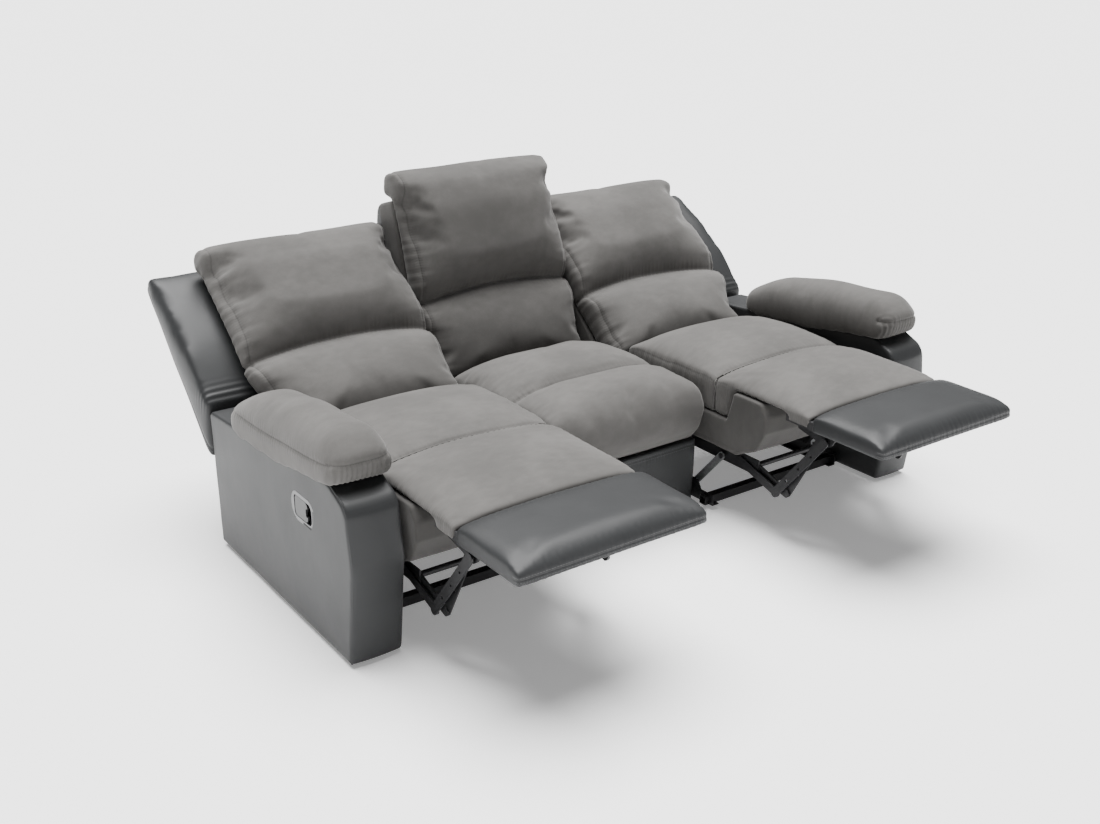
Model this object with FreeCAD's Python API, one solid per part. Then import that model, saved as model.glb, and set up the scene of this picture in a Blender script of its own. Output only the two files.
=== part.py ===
import FreeCAD, Part
import math
import os

V = FreeCAD.Vector

# Three-seat reclining sofa, both outer units reclined with their footrests out.
# X runs along the sofa, Y from front to rear, Z up. Sizes in millimetres, angles in degrees.

# Widths, measured from the sofa's middle
middle_half = 268.0
unit_inner = 274.0
unit_outer = 797.0
arm_inner = 815.0
arm_outer = 950.0
pad_overhang = 18.0
wing_outer = 962.0

# Running and seating clearances
seat_gap = 0.3
pin_gap = 0.05
open_pin_gap = 0.3

# Arms
arm_rear = 763.0
arm_top_front = 447.0
arm_top_rear = 390.0
arm_wall = 14.0
arm_edge = 7.0
glide_height = 10.0
glide_radius = 16.0

# Release handle in the outer face of each arm
handle_y = 196.0
handle_z = 328.5
handle_length = 125.0
handle_height = 77.0
handle_rim = 3.0
handle_depth = 30.0
pocket_length = 92.0
pocket_height = 54.0
pocket_depth = 26.0
lever_length = 66.0
lever_thickness = 5.0
lever_play = 1.5
lever_pin_radius = 2.0
lever_pin_inset = 8.0
lever_heel = 4.0
cup_wall = 4.0

# Backs, in their own frame: the hinge line at the origin, y to the rear, z up the back
upright_lean = 16.0
recline_lean = 45.0
hinge_y = 600.0
hinge_z = 250.0
back_depth = 125.0
back_bottom = 30.0
back_top = 600.0
back_wall = 10.0
pillow_seam = 296.0
pillow_top = 692.0
wing_top = 672.0
wing_gap = 3.0

# Seats
seat_bottom = 209.0
deck_height = 300.0
seat_wall = 6.0
seat_front = -57.0
seat_rear = 486.0
roll_top = 386.0
crease_y = 155.0
cushion_crown = 420.0
middle_front = 152.0
middle_crease = 380.0
middle_cushion_bottom = 209.0

# Glide of the outer seats: swing links between base and seat
glide_travel = 210.0
base_pivot_z = 60.0
seat_pivot_z = 180.0
front_pivot_y = 120.0
rear_pivot_y = 420.0
swing_link_width = 30.0

# Footrest hinge line and its linkage. Each pair of links is a parallelogram with the hinge line.
footrest_hinge_y = -110.0
footrest_hinge_z = 389.0
board_thickness = 23.0
leaf_thickness = 3.0
knuckle_radius = 3.0
knuckle_count = 8
fabric_end = -204.0
footrest_tip = -458.0
footrest_lip = 360.0
pad_crown = 30.0
near_seat_pivot = (0.0, 188.0)
near_board_pivot = (-228.0, 350.0)
far_seat_pivot = (50.0, 188.0)
far_board_pivot = (-250.0, 344.0)
link_width = 25.0

# Plates of the side mechanisms, side by side across X
plate = 4.0
plate_pitch = 4.5
plate_inset = 8.0
pivot_radius = 5.0
tube_radius = 8.0

# Base rails and cross tubes on the floor side
base_front = 140.0
base_rear = 660.0
rail_low = 15.0
tube_side = 25.0
angle_leg = 25.0
tube_wall = 2.0

unit_middle = (unit_inner + unit_outer) / 2
swing_rise = seat_pivot_z - base_pivot_z
swing_length = math.hypot(glide_travel / 2, swing_rise)

nodes = {}


def keep(name, shape):
    nodes[name] = shape


def outline(corners, x=0.0):
    """Closed wire in the plane X = x through (y, z, radius) corners, each rounded."""
    count = len(corners)
    joints = []
    for i, (y, z, radius) in enumerate(corners):
        here = V(x, y, z)
        before = V(x, *corners[i - 1][:2]) - here
        after = V(x, *corners[(i + 1) % count][:2]) - here
        half = before.getAngle(after) / 2
        before.normalize()
        after.normalize()
        inward = before + after
        inward.normalize()
        reach = radius / math.tan(half)
        middle = here + inward * (radius / math.sin(half) - radius)
        joints.append((here + before * reach, middle, here + after * reach))
    edges = []
    for i, (start, middle, end) in enumerate(joints):
        if (end - start).Length > 0.001:
            edges.append(Part.Arc(start, middle, end).toShape())
        following = joints[(i + 1) % count][0]
        if (following - end).Length > 0.001:
            edges.append(Part.makeLine(end, following))
    return Part.Wire(edges)


def slab(corners, x0, x1):
    """Flat piece with a rounded outline, from X = x0 to x1."""
    return Part.Face(outline(corners, x0)).extrude(V(x1 - x0, 0, 0))


def inset_slab(corners, inset, x0, x1):
    face = Part.Face(outline(corners, x0)).makeOffset2D(-inset)
    return face.extrude(V(x1 - x0, 0, 0))


def soft_slab(corners, x0, x1, edge):
    """Slab whose two flat sides have rounded rims."""
    block = slab(corners, x0, x1)
    rims = [each for each in block.Edges if each.BoundBox.XLength < 0.01]
    return block.makeFillet(edge, rims)


def box(x0, x1, y0, y1, z0, z1):
    return Part.makeBox(x1 - x0, y1 - y0, z1 - z0, V(x0, y0, z0))


def pin(y, z, x0, x1, radius):
    return Part.makeCylinder(radius, x1 - x0, V(x0, y, z), V(1, 0, 0))


def fuse(shapes):
    return shapes[0].multiFuse(shapes[1:]).removeSplitter()


def cushion(corners, x0, x1, anchor, draw_y, draw_z, power=4):
    """Crowned soft piece: its profile is full in the middle of its width and drawn in towards
    the anchor point at both sides."""
    wires = []
    for t in (0.0, 0.05, 0.14, 0.3, 0.5, 0.7, 0.86, 0.95, 1.0):
        fade = abs(2 * t - 1) ** power
        ky = 1 - draw_y * fade
        kz = 1 - draw_z * fade
        section = []
        for y, z, radius in corners:
            moved_y = anchor[0] + (y - anchor[0]) * ky
            moved_z = anchor[1] + (z - anchor[1]) * kz
            section.append((moved_y, moved_z, radius * min(ky, kz)))
        wires.append(outline(section, x0 + (x1 - x0) * t))
    return Part.makeLoft(wires, True, True)


def mirrored(shape):
    return shape.mirror(V(0, 0, 0), V(1, 0, 0))


# Arms

arm_profile = [
    (0.0, glide_height, 9.0), (-37.0, 268.0, 140.0), (-20.0, 412.0, 45.0),
    (58.0, arm_top_front, 60.0), (arm_rear, arm_top_rear, 14.0), (arm_rear, glide_height, 9.0)]


def arm_top(y):
    run = (y - 58.0) / (arm_rear - 58.0)
    return arm_top_front + (arm_top_rear - arm_top_front) * run


def oval(length, height):
    y0, y1 = handle_y - length / 2, handle_y + length / 2
    z0, z1 = handle_z - height / 2, handle_z + height / 2
    corner = height * 0.46
    return [(y0, z0, corner), (y1, z0, corner), (y1, z1, corner), (y0, z1, corner)]


def arm_cover():
    outer = soft_slab(arm_profile, arm_inner, arm_outer, arm_edge)
    cavity = inset_slab(arm_profile, arm_wall, arm_inner + arm_wall, arm_outer - arm_wall)
    hole = slab(pocket_corners(cup_wall + seat_gap), arm_outer - arm_wall - 1, arm_outer + 1)
    return outer.cut(cavity).cut(hole)


def arm_pad():
    """Saddle-shaped pad over the arm: thick at the front, sloping to the rear."""
    x0 = unit_outer + 2.0
    x1 = arm_outer + pad_overhang
    profile = [
        (14.0, 452.0, 22.0), (-4.0, 520.0, 34.0), (60.0, 576.0, 70.0), (300.0, 562.0, 300.0),
        (520.0, 524.0, 160.0), (640.0, 456.0, 60.0), (672.0, 396.0, 12.0),
        (560.0, 388.0, 40.0), (300.0, 408.0, 60.0)]
    form = cushion(profile, x0, x1, (300.0, arm_top(300.0)), 0.02, 0.42)
    seat = [(-80.0, 300.0, 1.0), (-80.0, 447.0 + seat_gap, 1.0)]
    seat += [(58.0, arm_top_front + seat_gap, 60.0), (arm_rear, arm_top_rear + seat_gap, 14.0)]
    seat += [(arm_rear, 300.0, 1.0)]
    return form.cut(slab(seat, arm_inner - seat_gap, arm_outer + seat_gap))


def handle_cup():
    """Moulded oval surround with the pocket that the lever closes at its rear."""
    face = arm_outer + handle_rim
    rim = slab(oval(handle_length, handle_height), arm_outer, face)
    rims = [each for each in rim.Edges if abs(each.BoundBox.XMin - face) < 0.01]
    rim = rim.makeFillet(handle_rim * 0.6, rims)
    body = slab(pocket_corners(cup_wall), arm_outer - handle_depth, arm_outer)
    pocket = slab(pocket_corners(0), face - pocket_depth, face + 1)
    x, y = lever_axis()
    low = handle_z - pocket_height / 2 - cup_wall
    bore = Part.makeCylinder(lever_pin_radius + pin_gap, pocket_height + 2 * cup_wall, V(x, y, low))
    return fuse([rim, body]).cut(pocket).cut(bore)


def pocket_corners(grow):
    y0, y1 = handle_y - pocket_length / 2 - grow, handle_y + pocket_length / 2 + grow
    z0, z1 = handle_z - pocket_height / 2 - grow, handle_z + pocket_height / 2 + grow
    return [(y0, z0, 16.0), (y1, z0, 10.0), (y1, z1, 10.0), (y0, z1, 16.0)]


def lever_axis():
    """X and Y of the lever's upright hinge pin, at the rear of the pocket."""
    x = arm_outer + handle_rim - lever_thickness - lever_pin_radius
    return x, handle_y + pocket_length / 2 - lever_pin_inset


def handle_lever():
    face = arm_outer + handle_rim - 0.5
    x, y = lever_axis()
    y1 = y + lever_heel
    y0 = y1 - lever_length
    z0 = handle_z - pocket_height / 2 + lever_play
    z1 = handle_z + pocket_height / 2 - lever_play
    blade = slab([(y0, z0, 12.0), (y1, z0, 9.0), (y1, z1, 9.0), (y0, z1, 12.0)], face - lever_thickness, face)
    grip = slab([(y0 - 1, handle_z - 11, 5.0), (y0 + 9, handle_z - 11, 5.0), (y0 + 9, handle_z + 11, 5.0),
                 (y0 - 1, handle_z + 11, 5.0)], face - lever_thickness - 1, face + 1)
    boss = Part.makeCylinder(lever_pin_radius + 2, z1 - z0 - 14, V(x, y, z0 + 7))
    low = handle_z - pocket_height / 2 - cup_wall
    rod = Part.makeCylinder(lever_pin_radius, pocket_height + 2 * cup_wall, V(x, y, low))
    return fuse([blade.cut(grip), boss, rod])


def floor_glides():
    """Round glides under the arms and under the middle base."""
    places = []
    for x in (-(arm_inner + arm_outer) / 2, (arm_inner + arm_outer) / 2):
        places += [(x, 60.0), (x, arm_rear - 60.0)]
    for x in (-middle_half + 50.0, middle_half - 50.0):
        places += [(x, 262.0), (x, 860.0)]
    discs = []
    for x, y in places:
        disc = Part.makeCylinder(glide_radius, glide_height, V(x, y, 0))
        low = [each for each in disc.Edges if each.BoundBox.ZMax < 0.01]
        discs.append(disc.makeChamfer(2.0, low))
    return Part.makeCompound(discs)


# Backs, each built in its own frame and then leaned and placed

back_profile = [
    (0.0, back_bottom, 6.0), (0.0, back_top, 12.0), (back_depth - 30.0, back_top, 36.0),
    (back_depth, back_top - 60.0, 60.0), (back_depth, back_bottom, 12.0)]


def lean_back(shape, lean, y, z):
    placed = shape.copy()
    placed.rotate(V(0, 0, 0), V(1, 0, 0), -lean)
    placed.translate(V(0, y, z))
    return placed


def back_point(y, z, lean, origin_y):
    """Where a point of the back's own frame lies in the sofa's."""
    a = math.radians(lean)
    return (origin_y + y * math.cos(a) + z * math.sin(a), hinge_z - y * math.sin(a) + z * math.cos(a))


def back_cover(x0, x1):
    outer = soft_slab(back_profile, x0, x1, 5.0)
    return outer.cut(inset_slab(back_profile, back_wall, x0 + back_wall, x1 - back_wall))


def back_frame(x0, x1):
    """Ladder of two stiles and five rails inside the cover."""
    gap = back_wall + seat_gap
    inside = inset_slab(back_profile, gap, x0 + gap, x1 - gap)
    stile = 24.0
    rail = 32.0
    rails = 5
    low = back_bottom + back_wall
    step = (back_top - back_wall - low - rail) / (rails - 1)
    bars = [box(x0, x0 + gap + stile, 0, back_depth, 0, back_top)]
    bars.append(box(x1 - gap - stile, x1, 0, back_depth, 0, back_top))
    for i in range(rails):
        bars.append(box(x0, x1, back_wall + 25, back_depth, low + i * step, low + i * step + rail))
    return inside.common(fuse(bars))


def lumbar_pillow(x0, x1):
    profile = [
        (-seat_gap, 36.0, 8.0), (-80.0, 30.0, 26.0), (-134.0, 62.0, 34.0), (-122.0, 150.0, 90.0),
        (-96.0, 262.0, 60.0), (-52.0, pillow_seam - 2, 16.0), (-seat_gap, pillow_seam - 8, 6.0)]
    return cushion(profile, x0, x1, (-seat_gap, 165.0), 0.3, 0.05)


def head_pillow(x0, x1):
    profile = [
        (-seat_gap, pillow_seam + 6, 5.0), (-50.0, pillow_seam + 2, 18.0), (-90.0, 400.0, 90.0),
        (-92.0, 560.0, 90.0), (-62.0, 668.0, 50.0), (-10.0, pillow_top + 4, 40.0),
        (44.0, pillow_top - 6, 34.0), (66.0, 650.0, 30.0), (64.0, back_top + seat_gap, 4.0),
        (-seat_gap, back_top + seat_gap, 1.0)]
    return cushion(profile, x0, x1, (-seat_gap, back_top + seat_gap), 0.26, 0.1)


def back_wing():
    """Leather side of an outer back, behind the arm: its lower front edge clears the arm's rear."""
    a = math.radians(recline_lean)
    reach = (arm_rear + wing_gap - hinge_y) / math.cos(a)
    front_low = (3.0, reach - 3.0)
    rear_low = (back_depth, reach - back_depth)
    profile = [
        (*front_low, 5.0), (-4.0, 376.0, 120.0), (16.0, 520.0, 90.0), (56.0, wing_top - 24, 40.0),
        (78.0, wing_top, 18.0), (back_depth, wing_top - 6, 16.0), (*rear_low, 14.0)]
    side = slab(profile, unit_outer, wing_outer)
    rims = [each for each in side.Edges if abs(each.BoundBox.XMin - wing_outer) < 0.01]
    return side.makeFillet(4.0, rims)


def back_bracket():
    """Pair of hinge plates screwed under the back, on the recline hinge line."""
    low = back_bottom - leaf_thickness
    pieces = []
    for x0, x1, lip0, lip1 in plates(1, 30.0):
        corners = [(-12.0, -14.0, 8.0), (14.0, -14.0, 8.0), (back_depth - 20, low + 1, 3.0), (12.0, low + 1, 3.0)]
        cheek = slab(corners, x0, x1)
        flange = box(lip0, lip1, 14.0, back_depth - 14, low, back_bottom)
        pieces.append(fuse([cheek, flange]).cut(pin(0, 0, x0 - 1, x1 + 1, pivot_radius + pin_gap)))
    return Part.makeCompound(pieces)


def plates(layer, lip=0.0):
    """X limits of the plates in one layer on both sides of a unit, and of a lip turned inward.
    Layer 0 holds the seat rails, layers below it lie nearer the unit's edge."""
    start = plate_inset + (layer + 4) * plate_pitch
    a = unit_inner + start
    b = unit_outer - start
    return ((a, a + plate, a, a + plate + lip), (b - plate, b, b - plate - lip, b))


def outward(layer, x0):
    """X of the face of a layer that looks to the unit's nearer edge, on the side of x0."""
    side = plates(layer)
    return side[0][0] if x0 < unit_middle else side[1][1]


def inward(layer, x0):
    side = plates(layer)
    return side[0][1] if x0 < unit_middle else side[1][0]


def span_pin(point, x0, from_x, to_x, radius=pivot_radius):
    return pin(point[0], point[1], min(from_x, to_x), max(from_x, to_x), radius)


def link(layer, start, end, width, holes, pins=(), spare=0):
    """Pair of flat bars with round ends. Holes and pins are (point, radius or outer X layer)."""
    bars = []
    for x0, x1, _, _ in plates(layer):
        reach = math.hypot(end[0] - start[0], end[1] - start[1])
        bar = box(x0, x1, 0, reach, -width / 2, width / 2)
        bar = fuse([bar, pin(0, 0, x0, x1, width / 2), pin(reach, 0, x0, x1, width / 2)])
        for i in range(spare):
            bar = bar.cut(pin(reach * (i + 1) / (spare + 1), 0, x0 - 1, x1 + 1, width / 6))
        bar.rotate(V(0, 0, 0), V(1, 0, 0), math.degrees(math.atan2(end[1] - start[1], end[0] - start[0])))
        bar.translate(V(0, start[0], start[1]))
        for point, radius in holes:
            bar = bar.cut(span_pin(point, x0, x0 - 1, x1 + 1, radius))
        for point, other in pins:
            far = outward(other, x0) if other < layer else inward(other, x0)
            near = inward(layer, x0) if other < layer else outward(layer, x0)
            bar = bar.fuse(span_pin(point, x0, far, near))
        bars.append(bar.removeSplitter())
    return bars


# Mechanism of one outer unit

front_base_pivot = (front_pivot_y + glide_travel / 2, base_pivot_z)
rear_base_pivot = (rear_pivot_y + glide_travel / 2, base_pivot_z)
front_seat_pivot = (front_pivot_y, seat_pivot_z)
rear_seat_pivot = (rear_pivot_y, seat_pivot_z)


def far_corner(seat_pivot, board_pivot):
    """Open pivot of a footrest link pair: the fourth corner of its parallelogram."""
    return (seat_pivot[0] + board_pivot[0] - footrest_hinge_y, seat_pivot[1] + board_pivot[1] - footrest_hinge_z)


near_knee = far_corner(near_seat_pivot, near_board_pivot)
far_knee = far_corner(far_seat_pivot, far_board_pivot)


def base_rails():
    """Two angle rails with pivot ears, joined by the front and rear cross tubes."""
    pieces = []
    for x0, x1, lip0, lip1 in plates(-4, angle_leg - plate):
        web = box(x0, x1, base_front, base_rear, rail_low, rail_low + 33)
        ears = [web, box(lip0, lip1, base_front, base_rear, rail_low, rail_low + leaf_thickness)]
        for y, z in (front_base_pivot, rear_base_pivot):
            corners = [(y - 40, rail_low + 20, 4.0), (y - 16, z + 15, 12.0), (y + 16, z + 15, 12.0), (y + 40, rail_low + 20, 4.0)]
            ears.append(slab(corners, x0, x1))
            ears.append(span_pin((y, z), x0, outward(-4, x0), inward(-3, x0)))
        pieces.append(fuse(ears))
    for y in (base_front + 15, base_rear - 45):
        tube = box(middle_half, arm_inner, y, y + tube_side, rail_low, rail_low + tube_side)
        bore = box(middle_half - 1, arm_inner + 1, y + tube_wall, y + tube_side - tube_wall,
                   rail_low + tube_wall, rail_low + tube_side - tube_wall)
        pieces.append(tube.cut(bore))
    return fuse(pieces)


def rear_swing_links():
    holes = [(rear_base_pivot, pivot_radius + pin_gap), (rear_seat_pivot, pivot_radius + pin_gap)]
    bars = link(-3, rear_base_pivot, rear_seat_pivot, swing_link_width, holes)
    middle = ((rear_base_pivot[0] + rear_seat_pivot[0]) / 2, (base_pivot_z + seat_pivot_z) / 2)
    x0 = plates(-3)[0][1]
    x1 = plates(-3)[1][0]
    tie = pin(*middle, x0, x1, tube_radius).cut(pin(*middle, x0, x1, tube_radius - tube_wall))
    return fuse(bars + [tie])


def front_swing_links():
    holes = [(front_base_pivot, pivot_radius + pin_gap), (front_seat_pivot, pivot_radius + pin_gap)]
    return Part.makeCompound(link(-3, front_base_pivot, front_seat_pivot, swing_link_width - 8, holes))


def seat_rails():
    """Side plates under the seat that carry every pivot, with a lip under the seat box."""
    pieces = []
    top = seat_bottom
    for x0, x1, lip0, lip1 in plates(0, 20.0):
        corners = [
            (-16.0, 174.0, 10.0), (-16.0, top, 3.0), (seat_rear + 10, top, 10.0),
            (hinge_y - 22, hinge_z + 18, 10.0), (hinge_y + 18, hinge_z + 18, 14.0),
            (hinge_y + 18, hinge_z - 16, 14.0), (seat_rear, 164.0, 30.0), (20.0, 162.0, 10.0)]
        web = slab(corners, x0, x1)
        parts = [web, box(lip0, lip1, 60.0, seat_rear - 60, top - leaf_thickness, top)]
        parts.append(span_pin(near_seat_pivot, x0, outward(0, x0), inward(1, x0)))
        parts.append(span_pin(far_seat_pivot, x0, inward(0, x0), outward(-1, x0)))
        parts.append(span_pin((hinge_y, hinge_z), x0, outward(0, x0), inward(1, x0)))
        for pivot in (front_seat_pivot, rear_seat_pivot):
            parts.append(span_pin(pivot, x0, inward(0, x0), outward(-3, x0)))
            head = outward(-3, x0)
            step = -2.0 if x0 < unit_middle else 2.0
            parts.append(span_pin(pivot, x0, head, head + step, pivot_radius + 3))
        pieces.append(fuse(parts))
    return Part.makeCompound(pieces)


def near_seat_links():
    """Drive links on the torque tube, which runs along their seat pivot."""
    holes = [(near_seat_pivot, pivot_radius + pin_gap), (near_knee, pivot_radius + open_pin_gap)]
    bars = link(1, near_seat_pivot, near_knee, link_width, holes)
    x0 = plates(1)[0][1]
    x1 = plates(1)[1][0]
    tube = pin(*near_seat_pivot, x0, x1, tube_radius).cut(pin(*near_seat_pivot, x0, x1, tube_radius - tube_wall))
    return fuse(bars + [tube])


def near_board_links():
    holes = [(near_board_pivot, pivot_radius + pin_gap)]
    return Part.makeCompound(link(2, near_board_pivot, near_knee, link_width, holes, [(near_knee, 1)], 2))


def far_seat_links():
    holes = [(far_seat_pivot, pivot_radius + pin_gap), (far_knee, pivot_radius + open_pin_gap)]
    return Part.makeCompound(link(-1, far_seat_pivot, far_knee, link_width, holes))


def far_board_links():
    holes = [(far_board_pivot, pivot_radius + pin_gap)]
    return Part.makeCompound(link(-2, far_board_pivot, far_knee, link_width, holes, [(far_knee, -1)], 3))


def knuckles(first):
    """Every second barrel of the footrest's long hinge."""
    x0 = unit_inner + 24.0
    x1 = unit_outer - 24.0
    step = (x1 - x0) / knuckle_count
    barrels = []
    for i in range(first, knuckle_count, 2):
        barrels.append(pin(footrest_hinge_y, footrest_hinge_z, x0 + i * step + 0.2, x0 + (i + 1) * step - 0.2, knuckle_radius))
    return barrels


def hinge_leaf(y0, y1, first):
    """Leaf of the long hinge, cut away round the other leaf's barrels."""
    x0 = unit_inner + 24.0
    x1 = unit_outer - 24.0
    leaf = box(x0, x1, y0, y1, footrest_hinge_z - leaf_thickness, footrest_hinge_z)
    rod = pin(footrest_hinge_y, footrest_hinge_z, x0, x1, knuckle_radius + 1.0)
    step = (x1 - x0) / knuckle_count
    bridges = []
    for i in range(first, knuckle_count, 2):
        a = x0 + i * step + 0.2
        b = x0 + (i + 1) * step - 0.2
        near = min(max(footrest_hinge_y, y0), y1)
        far = near + (6.0 if near == y0 else -6.0)
        bridges.append(box(a, b, min(near, far, footrest_hinge_y), max(near, far, footrest_hinge_y),
                           footrest_hinge_z - leaf_thickness, footrest_hinge_z))
    return fuse([leaf.cut(rod)] + bridges + knuckles(first))


def footrest_nose():
    """Fixed leaf of the footrest hinge, a nose plate on top of the seat's front roll."""
    return hinge_leaf(footrest_hinge_y + 4.5, 60.0, 0)


def footrest_brackets():
    """Plates under the board with the two board pivots, and the moving leaf on top of it."""
    low = footrest_hinge_z - board_thickness
    near_y, near_z = near_board_pivot
    far_y, far_z = far_board_pivot
    pieces = []
    for x0, x1, lip0, lip1 in plates(0, 24.0):
        corners = [
            (-150.0, low, 1.0), (-150.0, low - 13, 5.0), (near_y + 18, near_z - 10, 12.0),
            (near_y, near_z - 16, 8.0), (far_y - 4, far_z - 14, 10.0), (far_y - 20, far_z - 3, 10.0),
            (far_y - 34, low, 1.0)]
        web = slab(corners, x0, x1)
        flange = box(lip0, lip1, far_y - 34, -150.0, low - leaf_thickness, low)
        parts = [web, flange]
        parts.append(span_pin(near_board_pivot, x0, outward(0, x0), inward(2, x0)))
        parts.append(span_pin(far_board_pivot, x0, inward(0, x0), outward(-2, x0)))
        pieces.append(fuse(parts))
    pieces.append(hinge_leaf(-148.0, footrest_hinge_y - 4.5, 1))
    return Part.makeCompound(pieces)


def footrest_board():
    low = footrest_hinge_z - board_thickness
    board = box(unit_inner + 14, unit_outer - 14, footrest_tip + 14, footrest_hinge_y - 6, low, footrest_hinge_z)
    leaf = box(unit_inner + 23.5, unit_outer - 23.5, -148.5, footrest_hinge_y, footrest_hinge_z - leaf_thickness - 0.01,
               footrest_hinge_z + 1)
    return board.cut(leaf)


def chaise_section(y0, y1, low, sides):
    """Crowned pad profile between two ends, for the strips on either side of the hinge line."""
    top = footrest_hinge_z + pad_crown
    return [
        (y0, low, 3.0), (y0, top - 10, 9.0), (y0 + sides, top, 30.0), (y1 - sides, top, 30.0),
        (y1, top - 10, 9.0), (y1, low, 3.0)]


def footrest_fabric_pad():
    low = footrest_hinge_z + seat_gap
    section = chaise_section(fabric_end + 1.5, footrest_hinge_y - 5, low, 22.0)
    return cushion(section, unit_inner, unit_outer, (-158.0, low), 0.0, 0.3)


def footrest_leather_pad():
    """Leather cushion of the footrest: it wraps down over the board's front edge."""
    low = footrest_hinge_z + seat_gap
    top = footrest_hinge_z + pad_crown
    front = footrest_tip + 14 - seat_gap
    section = [
        (fabric_end - 1.5, low, 3.0), (front, low, 1.0), (front, footrest_lip + 2, 2.0),
        (footrest_tip + 2, footrest_lip + 2, 5.0), (footrest_tip, top - 20, 22.0),
        (footrest_tip + 44, top + 2, 50.0), (fabric_end - 30, top, 30.0), (fabric_end - 1.5, top - 10, 9.0)]
    return cushion(section, unit_inner, unit_outer, (front, low), 0.0, 0.3)


# Seats of the outer units

seat_box_profile = [
    (52.0, seat_bottom, 12.0), (-24.0, 243.0, 24.0), (seat_front, 306.0, 18.0), (seat_front, 352.0, 22.0),
    (-34.0, roll_top, 16.0), (70.0, roll_top, 8.0), (96.0, deck_height, 8.0), (seat_rear, deck_height, 4.0),
    (seat_rear, seat_bottom, 4.0)]


def seat_cover():
    outer = soft_slab(seat_box_profile, unit_inner, unit_outer, 3.0)
    return outer.cut(inset_slab(seat_box_profile, seat_wall, unit_inner + seat_wall, unit_outer - seat_wall))


def seat_frame():
    """Timber seat box: side, front and rear boards with three slats between them."""
    gap = seat_wall + seat_gap
    x0 = unit_inner + gap
    x1 = unit_outer - gap
    inside = inset_slab(seat_box_profile, gap, x0, x1)
    board = 22.0
    slats = 3
    bars = [box(x0, x0 + board, -100, 600, 0, 500), box(x1 - board, x1, -100, 600, 0, 500)]
    bars.append(box(x0, x1, 26.0, 26.0 + board, 0, 500))
    bars.append(box(x0, x1, seat_rear - gap - board, seat_rear, 0, 500))
    step = (x1 - x0) / (slats + 1)
    for i in range(slats):
        middle = x0 + (i + 1) * step
        bars.append(box(middle - 30, middle + 30, -100, 600, deck_height - gap - 14, 500))
    return inside.common(fuse(bars))


def seat_cushion():
    """Seat cushion with the crease where the chaise strip starts, and that strip up to the hinge."""
    low = footrest_hinge_z + seat_gap
    deck = deck_height + seat_gap
    top = cushion_crown
    profile = [
        (footrest_hinge_y + 5, low, 3.0), (footrest_hinge_y + 5, top - 13, 9.0),
        (footrest_hinge_y + 34, top - 1, 30.0), (crease_y - 22, top - 2, 26.0), (crease_y, top - 26, 5.0),
        (crease_y + 26, top - 2, 26.0), (320.0, top + 4, 200.0), (seat_rear - 30, top - 8, 40.0),
        (seat_rear, 392.0, 22.0), (seat_rear, deck, 6.0), (100.0, deck, 6.0), (76.0, low, 6.0)]
    return cushion(profile, unit_inner, unit_outer, (200.0, low), 0.0, 0.75)


# Middle section


def middle_base_profile():
    lean = upright_lean
    origin = hinge_y + glide_travel
    front_y, front_z = back_point(-6.0, back_bottom - seat_gap, lean, origin)
    rear_y, rear_z = back_point(back_depth - 8, back_bottom - seat_gap, lean, origin)
    return [
        (212.0, glide_height, 8.0), (206.0, middle_cushion_bottom, 6.0),
        (front_y - 90, middle_cushion_bottom, 20.0), (front_y - 20, front_z, 8.0), (front_y, front_z, 8.0),
        (rear_y, rear_z, 8.0), (rear_y, glide_height, 8.0)]


def middle_base_cover():
    profile = middle_base_profile()
    outer = soft_slab(profile, -middle_half, middle_half, 4.0)
    return outer.cut(inset_slab(profile, seat_wall, -middle_half + seat_wall, middle_half - seat_wall))


def middle_base_frame():
    """Timber box of the middle unit: boards round the edge and slats across the top."""
    gap = seat_wall + seat_gap
    half = middle_half - gap
    inside = inset_slab(middle_base_profile(), gap, -half, half)
    board = 22.0
    bars = [box(-half, -half + board, 0, 1100, 0, 500), box(half - board, half, 0, 1100, 0, 500)]
    for y in (218.0, 500.0, 790.0):
        bars.append(box(-half, half, y, y + board, 0, 500))
    slats = 3
    for i in range(slats):
        middle = -half + 2 * half * (i + 1) / (slats + 1)
        bars.append(box(middle - 30, middle + 30, 0, 1100, middle_cushion_bottom - gap - 14, 500))
    return inside.common(fuse(bars))


def middle_seat_cushion():
    low = middle_cushion_bottom + seat_gap
    top = cushion_crown
    rear = 700.0
    profile = [
        (214.0, low, 16.0), (176.0, 262.0, 40.0), (middle_front, 340.0, 50.0), (180.0, top - 6, 44.0),
        (middle_crease - 30, top + 3, 30.0), (middle_crease, top - 24, 5.0), (middle_crease + 28, top + 2, 30.0),
        (600.0, top - 4, 120.0), (rear, 388.0, 24.0), (rear, low, 8.0)]
    return cushion(profile, -middle_half, middle_half, (450.0, low), 0.02, 0.2)


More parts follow.
